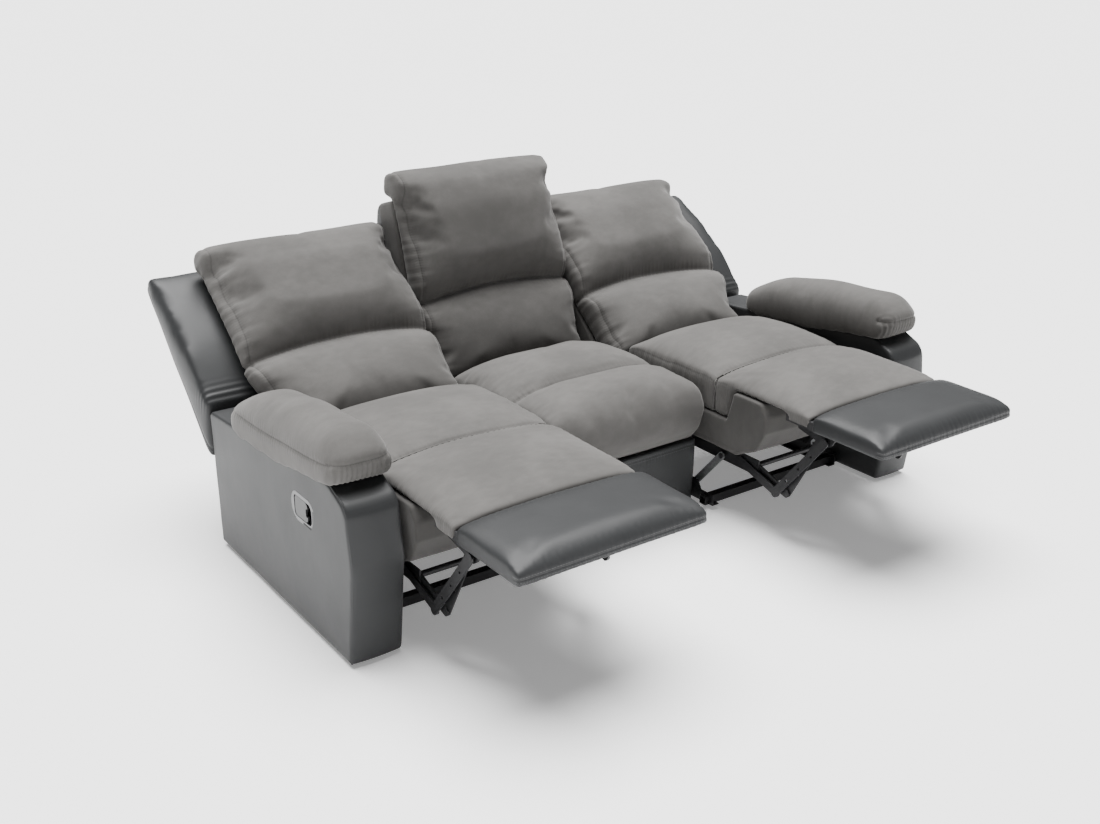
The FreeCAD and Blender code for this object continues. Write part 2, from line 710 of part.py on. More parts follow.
def add_unit(side, flip):
    """Every piece of one outer unit, built on the +X side and mirrored for the other."""
    def place(name, shape):
        keep(side + "_" + name, mirrored(shape) if flip else shape)

    place("arm_cover", arm_cover())
    place("arm_pad", arm_pad())
    place("handle_cup", handle_cup())
    place("handle_lever", handle_lever())
    place("base_rails", base_rails())
    place("rear_swing_links", rear_swing_links())
    place("front_swing_links", front_swing_links())
    place("seat_rails", seat_rails())
    place("seat_cover", seat_cover())
    place("seat_frame", seat_frame())
    place("seat_cushion", seat_cushion())
    place("footrest_nose", footrest_nose())
    place("footrest_brackets", footrest_brackets())
    place("footrest_board", footrest_board())
    place("footrest_fabric_pad", footrest_fabric_pad())
    place("footrest_leather_pad", footrest_leather_pad())
    place("near_seat_links", near_seat_links())
    place("near_board_links", near_board_links())
    place("far_seat_links", far_seat_links())
    place("far_board_links", far_board_links())
    backs = {
        "back_cover": back_cover(unit_inner, unit_outer),
        "back_frame": back_frame(unit_inner, unit_outer),
        "back_wing": back_wing(),
        "back_brackets": back_bracket(),
        "lumbar_pillow": lumbar_pillow(unit_inner, unit_outer),
        "head_pillow": head_pillow(unit_inner, unit_outer)}
    for name, shape in backs.items():
        place(name, lean_back(shape, recline_lean, hinge_y, hinge_z))


def add_middle():
    keep("middle_base_cover", middle_base_cover())
    keep("middle_base_frame", middle_base_frame())
    keep("middle_seat_cushion", middle_seat_cushion())
    backs = {
        "middle_back_cover": back_cover(-middle_half, middle_half),
        "middle_back_frame": back_frame(-middle_half, middle_half),
        "middle_lumbar_pillow": lumbar_pillow(-middle_half, middle_half),
        "middle_head_pillow": head_pillow(-middle_half, middle_half)}
    for name, shape in backs.items():
        keep(name, lean_back(shape, upright_lean, hinge_y + glide_travel, hinge_z))
    keep("floor_glides", floor_glides())


add_middle()
add_unit("left", True)
add_unit("right", False)

# The origin is on the floor below the middle of the sofa's bounding box
whole = Part.makeCompound(list(nodes.values())).BoundBox
shift = V(0, -(whole.YMin + whole.YMax) / 2, 0)

os.makedirs("parts", exist_ok=True)
for name, shape in nodes.items():
    shape.translate(shift)
    shape.exportStep("parts/" + name + ".step")

print("nodes", len(nodes))
print("size", round(whole.XLength, 1), round(whole.YLength, 1), round(whole.ZMax, 1), "shift", round(shift.y, 3))
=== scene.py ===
import math

import bmesh
import bpy
from mathutils import Matrix, Vector, noise


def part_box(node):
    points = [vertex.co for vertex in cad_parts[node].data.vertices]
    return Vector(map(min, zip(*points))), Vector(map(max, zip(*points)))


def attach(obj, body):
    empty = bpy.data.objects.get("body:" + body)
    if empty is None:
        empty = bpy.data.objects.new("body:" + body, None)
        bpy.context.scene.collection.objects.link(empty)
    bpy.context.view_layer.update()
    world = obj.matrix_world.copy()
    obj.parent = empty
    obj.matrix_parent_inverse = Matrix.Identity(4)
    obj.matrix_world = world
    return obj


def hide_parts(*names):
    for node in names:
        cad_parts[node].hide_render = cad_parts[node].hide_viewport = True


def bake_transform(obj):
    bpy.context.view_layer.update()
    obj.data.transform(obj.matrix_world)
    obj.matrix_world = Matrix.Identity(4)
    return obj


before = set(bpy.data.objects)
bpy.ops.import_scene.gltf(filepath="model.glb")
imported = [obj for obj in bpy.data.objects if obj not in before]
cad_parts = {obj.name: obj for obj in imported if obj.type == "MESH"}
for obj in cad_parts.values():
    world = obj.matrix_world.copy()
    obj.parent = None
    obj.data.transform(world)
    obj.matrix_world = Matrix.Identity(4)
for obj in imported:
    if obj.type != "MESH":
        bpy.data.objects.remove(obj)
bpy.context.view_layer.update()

# Three-seat reclining sofa in grey microfibre and slate synthetic leather. Sizes in metres.
# Lengths along the sofa are X, depths Y measured from the arms' lower front edge, heights Z.

# Widths from the sofa's middle
middle_half = 0.268
unit_inner = 0.274
unit_outer = 0.797
arm_inner = 0.815
arm_outer = 0.950
wing_outer = 0.962
unit_middle = (unit_inner + unit_outer) / 2
unit_half = (unit_outer - unit_inner) / 2

# Arms: the top slopes down from its crest near the front to its rear end
arm_crest_y = 0.058
arm_top_front = 0.447
arm_rear = 0.763
arm_top_rear = 0.390
glide_height = 0.010
pad_rear = 0.612
pad_seam_z = 0.502
pad_side_seam = 0.050
pleat_pitch = 0.012
pleat_height = 0.0014
handle_y = 0.196
handle_z = 0.3285
pocket_length = 0.092
pocket_height = 0.054
cup_wall = 0.004
cut_clearance = 0.0003
pad_clearance = 0.0008

# Backs, each in its own frame: z runs up the back from its hinge and y to its rear
hinge_y = 0.600
hinge_z = 0.250
glide_travel = 0.210
recline_lean = math.radians(45)
upright_lean = math.radians(16)
back_depth = 0.125
boxing_depth = 0.080
back_bottom = 0.030
back_top = 0.600
pillow_seam = 0.296
pillow_top = 0.692
head_overhang = 0.042
seam_rise = 0.026
seam_drop = 0.006
wing_top = 0.672
wing_gap = 0.003

# Seats and footrests
seat_bottom = 0.209
middle_base_top = 0.209
deck_height = 0.300
seat_front = -0.057
seat_rear = 0.486
roll_top = 0.386
crease_y = 0.155
middle_crease_y = 0.380
fabric_end = -0.204
chaise_rear = 0.548
cushion_crown = 0.420
strip_crown = 0.008
seat_crown = 0.011
board_top = 0.3892
board_inset = 0.0137
footrest_hinge_y = -0.110
footrest_tip = -0.458
footrest_lip = 0.360

# The CAD model's Y runs from the middle of its own box
shift_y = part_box("left_arm_cover")[1].y - arm_rear
TO_FRAME = Matrix.Translation((0, shift_y, 0))

# Making up of the covers
cloth_voxel = 0.008
wing_voxel = 0.0075
footrest_voxel = 0.007
cloth_frames = 20
cover_cell = 0.018
corner_segments = 6
rim_segments = 3
smallest_bevel = 0.0005
piping_radius = 0.0032
seam_width = 0.006
stitch_inset = 0.005
stitch_length = 0.0035
far_from_seams = 1.0
CLOTH = {
    "quality": 5, "mass": 0.3, "tension_stiffness": 15, "compression_stiffness": 15,
    "shear_stiffness": 5, "bending_stiffness": 0.6, "use_pressure": True}
MIRROR = Matrix.Diagonal((-1, 1, 1, 1))
SIDES = {"left": -1, "right": 1}
scene = bpy.context.scene

# Studio, with the camera's place in the lengths and depths used above
camera_lens = 41.755
sensor_width = 36
camera_place = (-2.02417, -2.29931, 1.62682)
camera_tilt = math.radians(68.352)
camera_turn = math.radians(-35.371)
world_strength = 0.22
skylight_energy = 10.6
skylight_width = math.radians(54)
skylight_way = Vector((-0.10, -0.20, -1))
floor_reach = 40.0


def at(x, y, z):
    return Vector((x, y + shift_y, z))


# Shader shorthand


class Value:
    """A socket in a material's tree that Python's arithmetic can be used on."""

    def __init__(self, finish, socket):
        self.finish = finish
        self.socket = socket

    def math(self, operation, *others):
        return self.finish.add("ShaderNodeMath", {"operation": operation}, self, *others)

    def __add__(self, other):
        return self.math("ADD", other)

    def __sub__(self, other):
        return self.math("SUBTRACT", other)

    def __mul__(self, other):
        return self.math("MULTIPLY", other)

    def __rsub__(self, other):
        return self.finish.add("ShaderNodeMath", {"operation": "SUBTRACT"}, other, self)

    def __abs__(self):
        return self.math("ABSOLUTE")

    __radd__ = __add__
    __rmul__ = __mul__


class Finish:
    """One procedural material: a Principled shader and the nodes that feed it."""

    def __init__(self, name, **constants):
        self.material = bpy.data.materials.new(name)
        self.material.use_nodes = True
        self.tree = self.material.node_tree
        self.tree.nodes.clear()
        self.shader = self.tree.nodes.new("ShaderNodeBsdfPrincipled")
        output = self.tree.nodes.new("ShaderNodeOutputMaterial")
        self.tree.links.new(self.shader.outputs[0], output.inputs[0])
        for socket, number in constants.items():
            self.shader.inputs[socket.replace("_", " ")].default_value = number

    def add(self, kind, settings=None, *values, out=0, **named):
        """Any node: its settings, then its sockets in their order, where None leaves one alone,
        and then sockets by name."""
        node = self.tree.nodes.new(kind)
        for setting, choice in (settings or {}).items():
            setattr(node, setting, choice)
        for index, value in enumerate(values):
            if value is not None:
                self.feed(node.inputs[index], value)
        for socket, value in named.items():
            self.feed(node.inputs[socket.replace("_", " ")], value)
        return Value(self, node.outputs[out])

    def feed(self, socket, value):
        if isinstance(value, Value):
            self.tree.links.new(value.socket, socket)
        else:
            socket.default_value = value

    def place(self):
        return self.add("ShaderNodeTexCoord", out="Object")

    def mottle(self, scale, detail=2.0, roughness=0.5, stretch=None):
        """Soft noise, scale patches to the metre, drawn out along each axis by stretch."""
        where = self.place()
        if stretch:
            where = self.add("ShaderNodeMapping", {"vector_type": "TEXTURE"}, where, Scale=stretch)
        return self.add(
            "ShaderNodeTexNoise", Vector=where, Scale=scale, Detail=detail, Roughness=roughness)

    def cells(self, feature, scale):
        return self.add("ShaderNodeTexVoronoi", {"feature": feature}, Vector=self.place(), Scale=scale)

    def band(self, value, low, high, to_low=0.0, to_high=1.0):
        """to_low below low, to_high above high, smooth between."""
        settings = {"interpolation_type": "SMOOTHSTEP"}
        return self.add("ShaderNodeMapRange", settings, value, low, high, to_low, to_high)

    def blend(self, factor, first, second):
        """Mix of two colours, which are the node's last two sockets."""
        for_numbers = [None] * 5
        return self.add(
            "ShaderNodeMix", {"data_type": "RGBA"}, factor, *for_numbers, first, second, out=2)

    def sewn(self):
        """How far a point lies from its piece's nearest seam, and how far along it, in metres."""
        off = self.add("ShaderNodeAttribute", {"attribute_name": "seam_off"}, out="Fac")
        run = self.add("ShaderNodeAttribute", {"attribute_name": "seam_run"}, out="Fac")
        return abs(off), run

    def gathers(self, off, run, rate, ripple, fade):
        """Small folds across a seam, rate radians to the metre, that die away beside it."""
        near = (off * -fade).math("EXPONENT")
        return (run * rate + ripple * 9.0).math("SINE") * near

    def wear(self, colour, roughness, height=None, strength=0.3, distance=0.001):
        """Puts colour, roughness and bump height on the shader. Gives the finished material."""
        self.feed(self.shader.inputs["Base Color"], colour)
        self.feed(self.shader.inputs["Roughness"], roughness)
        if height is not None:
            bump = self.add("ShaderNodeBump", Strength=strength, Distance=distance, Height=height)
            self.feed(self.shader.inputs["Normal"], bump)
        return self.material


# Finishes


def microfibre(name, dark, light):
    """Warm grey brushed microfibre, its nap lying in soft lighter and darker patches."""
    cloth = Finish(name, Sheen_Weight=0.22, Sheen_Roughness=0.4, Sheen_Tint=(0.88, 0.87, 0.85, 1))
    patches = cloth.mottle(4.5, 3.0, 0.55)
    strokes = cloth.mottle(30.0, 2.0, 0.6, stretch=(1, 0.55, 1))
    fibres = cloth.mottle(820.0, 2.0, 0.7)
    nap = patches * 0.6 + strokes * 0.2 + fibres * 0.2
    off, run = cloth.sewn()
    groove = cloth.band(off, 0.0, 0.0025, 1, 0)
    gathers = cloth.gathers(off, run, 820.0, strokes, fade=110.0)
    shade = cloth.band(nap, 0.34, 0.70)
    colour = cloth.blend(shade, dark, light)
    # Painted shade: the colour darkens in the seam grooves; the groove in the bump below is real relief.
    colour = cloth.blend(groove * 0.3, colour, (0.026, 0.025, 0.024, 1))
    height = fibres * 0.35 + strokes * 0.2 + gathers * 0.4 - groove * 1.0
    return cloth.wear(colour, 0.86 + patches * 0.1, height, strength=0.35, distance=0.0012)


def leather():
    """Slate synthetic leather: fine pebbled grain, topstitching beside its seams."""
    hide = Finish("slate_leather", Specular_IOR_Level=0.3)
    pebble = hide.cells("SMOOTH_F1", 520.0)
    fine = hide.mottle(1400.0)
    tone = hide.mottle(6.0, 3.0)
    ripple = hide.mottle(24.0, 3.0, 0.55, stretch=(1, 0.6, 1))
    off, run = hide.sewn()
    groove = hide.band(off, 0.0, 0.0016, 1, 0)
    beside = hide.band(abs(off - stitch_inset), 0.0004, 0.001, 1, 0)
    dash = hide.band(run.math("PINGPONG", stitch_length), 0.0008, 0.0013)
    thread = beside * dash
    gathers = hide.gathers(off, run, 520.0, ripple, fade=60.0)
    colour = hide.blend(tone, (0.0190, 0.0198, 0.0206, 1), (0.0275, 0.0285, 0.0295, 1))
    # Painted shade: the colour darkens in the seam grooves; the groove in the bump below is real relief.
    colour = hide.blend(groove * 0.7, colour, (0.014, 0.014, 0.015, 1))
    colour = hide.blend(thread * 0.6, colour, (0.085, 0.086, 0.088, 1))
    height = pebble * 0.30 + fine * 0.1 + ripple * 0.45 + gathers * 0.5 + thread * 0.5 - groove * 1.4
    rough = 0.46 + tone * 0.08 - ripple * 0.05
    return hide.wear(colour, rough, height, strength=0.28, distance=0.0012)


def black_steel():
    """Black powder-coated pressed steel."""
    steel = Finish("black_steel", Metallic=0.3, Specular_IOR_Level=0.5)
    peel = steel.mottle(420.0)
    rub = steel.mottle(9.0, 4.0, 0.6)
    worn = steel.band(rub, 0.56, 0.8)
    colour = steel.blend(worn, (0.010, 0.010, 0.011, 1), (0.030, 0.030, 0.031, 1))
    return steel.wear(colour, 0.34 + rub * 0.2, peel, strength=0.12, distance=0.0005)


def zinc_steel():
    """Bright zinc-plated bar with a faint spangle and brushed streaks."""
    steel = Finish("zinc_steel", Metallic=1.0)
    spangle = steel.cells("F1", 120.0)
    streaks = steel.mottle(160.0, 2.0, 0.6, stretch=(1, 6, 1))
    colour = steel.blend(spangle, (0.62, 0.63, 0.64, 1), (0.42, 0.43, 0.44, 1))
    return steel.wear(colour, 0.26 + streaks * 0.2, streaks, strength=0.1, distance=0.0004)


def moulded_plastic(name, specular, dark, light, rough, relief):
    """Grey plastic with a fine spark-eroded texture."""
    plastic = Finish(name, Specular_IOR_Level=specular)
    grain = plastic.mottle(1500.0)
    tone = plastic.mottle(40.0)
    colour = plastic.blend(tone, dark, light)
    return plastic.wear(colour, rough + grain * 0.1, grain, strength=relief, distance=0.0003)


def glide_plastic():
    """Black plastic of the floor glides, coarser in grain."""
    plastic = Finish("glide_plastic")
    grain = plastic.mottle(700.0)
    colour = plastic.blend(grain, (0.010, 0.010, 0.010, 1), (0.020, 0.020, 0.021, 1))
    return plastic.wear(colour, 0.5 + grain * 0.15, grain, strength=0.15, distance=0.0004)


def timber():
    """Sawn softwood of the frames, grain along X."""
    wood = Finish("sawn_timber")
    rings = wood.mottle(60.0, 3.0, 0.6, stretch=(8, 1, 1))
    pores = wood.mottle(500.0, 2.0, 0.6, stretch=(12, 1, 1))
    height = rings * 0.5 + pores * 0.5
    colour = wood.blend(rings, (0.30, 0.19, 0.10, 1), (0.50, 0.36, 0.21, 1))
    return wood.wear(colour, 0.6 + pores * 0.2, height, strength=0.25, distance=0.0008)


def lining():
    """Black spun-bonded cloth stapled under the footrest boards, with its dotted weld pattern."""
    cloth = Finish("black_lining")
    dots = cloth.cells("F1", 620.0)
    fibres = cloth.mottle(900.0, 3.0, 0.7)
    height = dots * 0.6 + fibres * 0.4
    colour = cloth.blend(fibres, (0.008, 0.008, 0.009, 1), (0.022, 0.022, 0.023, 1))
    return cloth.wear(colour, 0.8 + fibres * 0.1, height, strength=0.25, distance=0.0005)


def floor_finish():
    """White studio floor that glows a little, as one lit from all round does."""
    paint = Finish(
        "studio_floor", Specular_IOR_Level=0.1, Emission_Color=(1, 1, 1, 1), Emission_Strength=0.25)
    tone = paint.mottle(0.8)
    colour = paint.blend(tone, (0.90, 0.90, 0.90, 1), (0.92, 0.92, 0.92, 1))
    return paint.wear(colour, 0.85 + tone * 0.05)


FABRIC = microfibre("microfibre", (0.068, 0.0650, 0.0615, 1), (0.108, 0.1035, 0.0985, 1))
# Painted shade: a darker copy of the microfibre for the seat boxes, standing in for the shade under the
# seats and chaise.
SHADED_BOX_FABRIC = microfibre("box_microfibre", (0.036, 0.0340, 0.0320, 1), (0.058, 0.0550, 0.0520, 1))
LEATHER = leather()


# Meshes


def new_piece(name, bm, material):
    """Object at the origin from a bmesh, smooth shaded, in one finish."""
    mesh = bpy.data.meshes.new(name)
    bmesh.ops.recalc_face_normals(bm, faces=bm.faces)
    for face in bm.faces:
        face.smooth = True
    bm.to_mesh(mesh)
    bm.free()
    mesh.materials.append(material)
    obj = bpy.data.objects.new(name, mesh)
    scene.collection.objects.link(obj)
    return obj


def bake_modifiers(obj):
    """The object's mesh becomes what its modifiers make of it now."""
    depsgraph = bpy.context.evaluated_depsgraph_get()
    mesh = bpy.data.meshes.new_from_object(obj.evaluated_get(depsgraph), depsgraph=depsgraph)
    obj.modifiers.clear()
    old = obj.data
    obj.data = mesh
    mesh.name = obj.name
    bpy.data.meshes.remove(old)


def solid_copy(node, move):
    """Copy of a CAD node's mesh, merged along its edges and moved."""
    bm = bmesh.new()
    bm.from_mesh(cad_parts[node].data)
    bmesh.ops.remove_doubles(bm, verts=bm.verts, dist=0.0002)
    bmesh.ops.transform(bm, matrix=move, verts=bm.verts)
    return bm


def remesh(obj, voxel):
    grid = obj.modifiers.new("even cells", "REMESH")
    grid.mode = "VOXEL"
    grid.voxel_size = voxel
    grid.use_smooth_shade = True
    bake_modifiers(obj)


def smooth(obj, rounds):
    soften = obj.modifiers.new("soften", "SMOOTH")
    soften.iterations = rounds
    soften.factor = 0.5
    bake_modifiers(obj)


def subdivide(obj):
    round_off = obj.modifiers.new("round off", "SUBSURF")
    round_off.levels = 1
    round_off.render_levels = 1
    bake_modifiers(obj)


def inflate(obj, held, cap, pressure=4.0, relax=10):
    """Fills a cushion cover: cloth under pressure, held where held(point) is 1, each point kept
    within cap of where it started and the whole smoothed for relax rounds."""
    def hold(point):
        return min(1.0, max(0.0, held(point)))
    start = [vertex.co.copy() for vertex in obj.data.vertices]
    group = obj.vertex_groups.new(name="held")
    for index, point in enumerate(start):
        if hold(point) > 0.01:
            group.add([index], hold(point), "REPLACE")
    cloth = obj.modifiers.new("filling", "CLOTH")
    for setting, choice in CLOTH.items():
        setattr(cloth.settings, setting, choice)
    cloth.settings.uniform_pressure_force = pressure
    cloth.settings.vertex_group_mass = group.name
    cloth.settings.effector_weights.gravity = 0
    cloth.collision_settings.use_collision = False
    cloth.point_cache.frame_start = 1
    cloth.point_cache.frame_end = cloth_frames
    for number in range(1, cloth_frames + 1):
        scene.frame_set(number)
    bake_modifiers(obj)
    scene.frame_set(1)
    for vertex, origin in zip(obj.data.vertices, start):
        step = vertex.co - origin
        if step.length > cap:
            vertex.co = origin + step * (cap / step.length)
    obj.vertex_groups.clear()
    smooth(obj, relax)


def shape(obj, move):
    """Moves each vertex by move(point, normal), a vector."""
    moves = [move(vertex.co, vertex.normal) for vertex in obj.data.vertices]
    for vertex, step in zip(obj.data.vertices, moves):
        vertex.co += step
    obj.data.update()


def sew(obj, off, run, depth, pucker=0.0, pitch=0.02, reach=0.03):
    """Seam at off(point) = 0, run(point) metres along: drawn in by depth, its sides puckered in
    waves of a pitch, as far out as reach. The nearest seam's off and run stay on the mesh for
    the finish to read."""
    mesh = obj.data
    if "seam_off" not in mesh.attributes:
        for name in ("seam_off", "seam_run"):
            mesh.attributes.new(name, "FLOAT", "POINT")
        for item in mesh.attributes["seam_off"].data:
            item.value = far_from_seams
    nearest = mesh.attributes["seam_off"].data
    along = mesh.attributes["seam_run"].data
    steps = []
    for index, vertex in enumerate(mesh.vertices):
        d = off(vertex.co)
        s = run(vertex.co)
        if abs(d) < abs(nearest[index].value):
            nearest[index].value = d
            along[index].value = s
        draw = depth * math.exp(-(d / seam_width) ** 2)
        fold = 0.0
        if pucker and abs(d) < reach * 2:
            drift = 3 * noise.noise(Vector((s * 18, 0.3, depth * 900)))
            wave = math.sin(2 * math.pi * s / pitch + drift)
            fade = math.exp(-((abs(d) - seam_width) / reach) ** 2)
            fold = pucker * wave * fade * (0.6 + noise.noise(Vector((s * 31, 7.1, 0))))
        steps.append(vertex.normal * (fold - draw))
    for vertex, step in zip(mesh.vertices, steps):
        vertex.co += step
    mesh.update()


def across(point):
    return point.x


def backwards(point):
    return point.y


def upwards(point):
    return point.z


def rumple(obj, height, size, seed):
    """Broad soft unevenness of a stuffed or wrapped surface."""
    def move(point, normal):
        amount = noise.noise(Vector((point.x / size + seed, point.y / size, point.z / size)))
        return normal * amount * height
    shape(obj, move)


def bow_front(obj, middle, half, depth, power):
    """Bulges what faces the front, most in the middle of the width."""
    def move(point, normal):
        u = (point.x - middle) / half
        return Vector((0, -depth * max(0.0, -normal.y) * (1 - u ** power), 0))
    shape(obj, move)


def copy_piece(obj, name, matrix):
    """Another piece from the same mesh, moved. A mirrored one is turned right side out."""
    mesh = obj.data.copy()
    mesh.name = name
    mesh.transform(matrix)
    if matrix.determinant() < 0:
        mesh.flip_normals()
    twin = bpy.data.objects.new(name, mesh)
    scene.collection.objects.link(twin)
    return twin


def both_sides(*named_pieces):
    """Names the right-hand pieces and mirrors them: each side with its pieces."""
    for name, piece in named_pieces:
        piece.name = "right_" + name
    rights = [piece for name, piece in named_pieces]
    lefts = [copy_piece(piece, "left_" + name, MIRROR) for name, piece in named_pieces]
    return ("right", rights), ("left", lefts)


def outline_face(bm, corners, x):
    """Flat face in the plane X = x through (y, z, radius) corners, each rounded by a bevel."""
    ring = [bm.verts.new((x, y, z)) for y, z, radius in corners]
    bm.faces.new(ring)
    count = len(corners)
    reaches = []
    for index, (y, z, radius) in enumerate(corners):
        here = Vector((y, z))
        before = Vector(corners[index - 1][:2]) - here
        after = Vector(corners[(index + 1) % count][:2]) - here
        reaches.append(radius / math.tan(before.angle(after) / 2))
    for vertex, reach in zip(ring, reaches):
        if reach > smallest_bevel:
            bmesh.ops.bevel(
                bm, geom=[vertex], offset=reach, offset_type="OFFSET", segments=corner_segments,
                profile=0.5, affect="VERTICES", material=-1, clamp_overlap=False)
    return bm.faces[:][0]


def slab_mesh(corners, x0, width):
    """Plain closed slab of a (y, z, radius) outline, a width across from x0."""
    bm = bmesh.new()
    face = outline_face(bm, corners, x0)
    grown = bmesh.ops.extrude_face_region(bm, geom=[face])["geom"]
    raised = [item for item in grown if isinstance(item, bmesh.types.BMVert)]
    bmesh.ops.translate(bm, verts=raised, vec=(width, 0, 0))
    return bm


def padded_slab(name, corners, x0, x1, rim, material):
    """Closed slab with rounded outline and rims, cut into even cells so that it can be shaped."""
    bm = slab_mesh(corners, x0, x1 - x0)
    rims = [edge for edge in bm.edges if abs(edge.verts[0].co.x - edge.verts[1].co.x) < 1e-6]
    bmesh.ops.bevel(
        bm, geom=rims, offset=rim, offset_type="OFFSET", segments=rim_segments, profile=0.5,
        affect="EDGES", material=-1)
    cut_cells(bm)
    return new_piece(name, bm, material)


def cut_cells(bm):
    """Even cuts across all three axes."""
    for axis in range(3):
        low = min(vertex.co[axis] for vertex in bm.verts)
        high = max(vertex.co[axis] for vertex in bm.verts)
        count = int((high - low) / cover_cell)
        for index in range(1, count):
            place = Vector((0, 0, 0))
            place[axis] = low + (high - low) * index / count
            normal = Vector((0, 0, 0))
            normal[axis] = 1
            geom = bm.verts[:] + bm.edges[:] + bm.faces[:]
            bmesh.ops.bisect_plane(bm, geom=geom, dist=0.0006, plane_co=place, plane_no=normal)


def cut_away(obj, cutter):
    """Takes the cutter's room out of the piece."""
    hole = obj.modifiers.new("room", "BOOLEAN")
    hole.operation = "DIFFERENCE"
    hole.object = cutter
    bake_modifiers(obj)
    bpy.data.objects.remove(cutter)


def stuffed(
        corners, x0, x1, anchor, draw_y, draw_z, material, room=None, voxel=cloth_voxel, rounds=6,
        power=4):
    """Start of a cushion: its outline is full in the middle of its width. Towards both sides its
    depth is drawn in to the (y, z) anchor by the share draw_y, and what lies above the anchor is
    drawn down to it by the share draw_z. The room of what it rests on is cut out of it."""
    obj = new_piece("slab", slab_mesh(corners, x0, x1 - x0), material)
    remesh(obj, voxel)
    middle = (x0 + x1) / 2
    half = (x1 - x0) / 2

    def crown(point, normal):
        fade = min(1.0, abs(point.x - middle) / half) ** power
        inwards = (anchor[0] - point.y) * draw_y * fade
        down = min(0.0, anchor[1] - point.z) * draw_z * fade
        return Vector((0, inwards, down))
    shape(obj, crown)
    if room:
        cut_away(obj, room)
        remesh(obj, voxel)
    smooth(obj, rounds)
    return obj


def keep_width(obj, middle, half):
    """Sides that swelled past a unit's width are pressed back, as they are by their neighbours."""
    free, pressed = 0.9, 0.1

    def move(point, normal):
        u = (point.x - middle) / half
        if abs(u) < free:
            return Vector()
        kept = free + pressed * math.tanh((abs(u) - free) / pressed)
        return Vector((math.copysign(kept, u) * half + middle - point.x, 0, 0))
    shape(obj, move)


def square_up(obj, middle, half):
    """Draws a cushion's two sides out to the full width at every height."""
    row_height = 0.024
    widest = {}
    for vertex in obj.data.vertices:
        row = round(vertex.co.z / row_height)
        widest[row] = max(widest.get(row, 0.0), abs(vertex.co.x - middle))

    def move(point, normal):
        row = math.floor(point.z / row_height)
        t = point.z / row_height - row
        here = widest.get(row, widest.get(row + 1))
        reach = here + (widest.get(row + 1, here) - here) * t
        return Vector(((point.x - middle) * (half / reach - 1), 0, 0))
    shape(obj, move)


def step_up(value, low, high):
    """0 below low, 1 above high, smooth between."""
    t = min(1.0, max(0.0, (value - low) / (high - low)))
    return t * t * (3 - 2 * t)


def edge_distance(corners, y, z):
    """Distance of a point from the nearest side of a closed outline."""
    here = Vector((y, z))
    distances = []
    for index in range(len(corners)):
        a = Vector(corners[index - 1][:2])
        b = Vector(corners[index][:2])
        t = min(1.0, max(0.0, (here - a).dot(b - a) / (b - a).length_squared))
        distances.append((here - a - (b - a) * t).length)
    return min(distances)


def fill_sides(obj, corners, amount, soft):
    """Bulges the two flat sides of a slab, fully from a soft distance inside its outline."""
    def move(point, normal):
        if abs(normal.x) < 0.5:
            return Vector()
        distance = edge_distance(corners, point.y, point.z)
        bulge = amount * (1 - math.exp(-(distance / soft) ** 2))
        return Vector((math.copysign(bulge, normal.x), 0, 0))
    shape(obj, move)


def tube_along(name, points, radius, material):
    """Piping: a round tube through the points."""
    curve = bpy.data.curves.new(name, "CURVE")
    curve.dimensions = "3D"
    spline = curve.splines.new("POLY")
    spline.points.add(len(points) - 1)
    for place, point in zip(spline.points, points):
        place.co = (*point, 1)
    curve.bevel_depth = radius
    curve.bevel_resolution = 2
    curve.use_fill_caps = True
    made = bpy.data.objects.new(name, curve)
    scene.collection.objects.link(made)
    depsgraph = bpy.context.evaluated_depsgraph_get()
    bm = bmesh.new()
    bm.from_mesh(bpy.data.meshes.new_from_object(made.evaluated_get(depsgraph), depsgraph=depsgraph))
    bpy.data.objects.remove(made)
    return new_piece(name, bm, material)


def join_into(obj, other):
    """Makes the other object part of the first one's mesh."""
    bm = bmesh.new()
    bm.from_mesh(obj.data)
    bm.from_mesh(other.data)
    bpy.data.objects.remove(other)
    bm.to_mesh(obj.data)
    bm.free()


def lean(angle, y):
    """Matrix from a back's own frame, z up the back and y to its rear, to the sofa's."""
    return Matrix.Translation(at(0, y, hinge_z)) @ Matrix.Rotation(-angle, 4, "X")


RECLINED = lean(recline_lean, hinge_y)
UPRIGHT = lean(upright_lean, hinge_y + glide_travel)


# Backs


def seam_arch(x):
    """The seam between head and lumbar pillow rises towards the middle of the width."""
    u = min(1.0, abs(x - unit_middle) / unit_half)
    return seam_rise * (1 - u * u) - seam_drop


BACK_CUSHION_PROFILE = [
    (-0.001, 0.036, 0.008), (-0.080, 0.032, 0.026), (-0.126, 0.062, 0.034), (-0.116, 0.150, 0.090),
    (-0.104, 0.248, 0.040), (-0.074, pillow_seam - 0.010, 0.010), (-0.040, pillow_seam, 0.002),
    (-0.072, pillow_seam + 0.012, 0.010), (-0.096, 0.350, 0.040), (-0.098, 0.430, 0.090),
    (-0.092, 0.560, 0.090), (-0.060, 0.662, 0.050), (-0.010, pillow_top - 0.006, 0.040),
    (0.040, pillow_top - 0.014, 0.034), (0.062, 0.650, 0.030), (0.062, back_top + 0.001, 0.004),
    (-0.001, back_top + 0.001, 0.001)]


def wing_front(z):
    """Depth of the wing's front face at a height up the back."""
    steps = [
        (0.20, -0.002), (0.376, -0.008), (0.520, 0.008), (0.648, 0.050), (wing_top, 0.080),
        (0.72, 0.14)]
    for (z0, y0), (z1, y1) in zip(steps, steps[1:]):
        if z <= z1:
            return y0 + (y1 - y0) * max(0.0, z - z0) / (z1 - z0)
    return steps[-1][1]


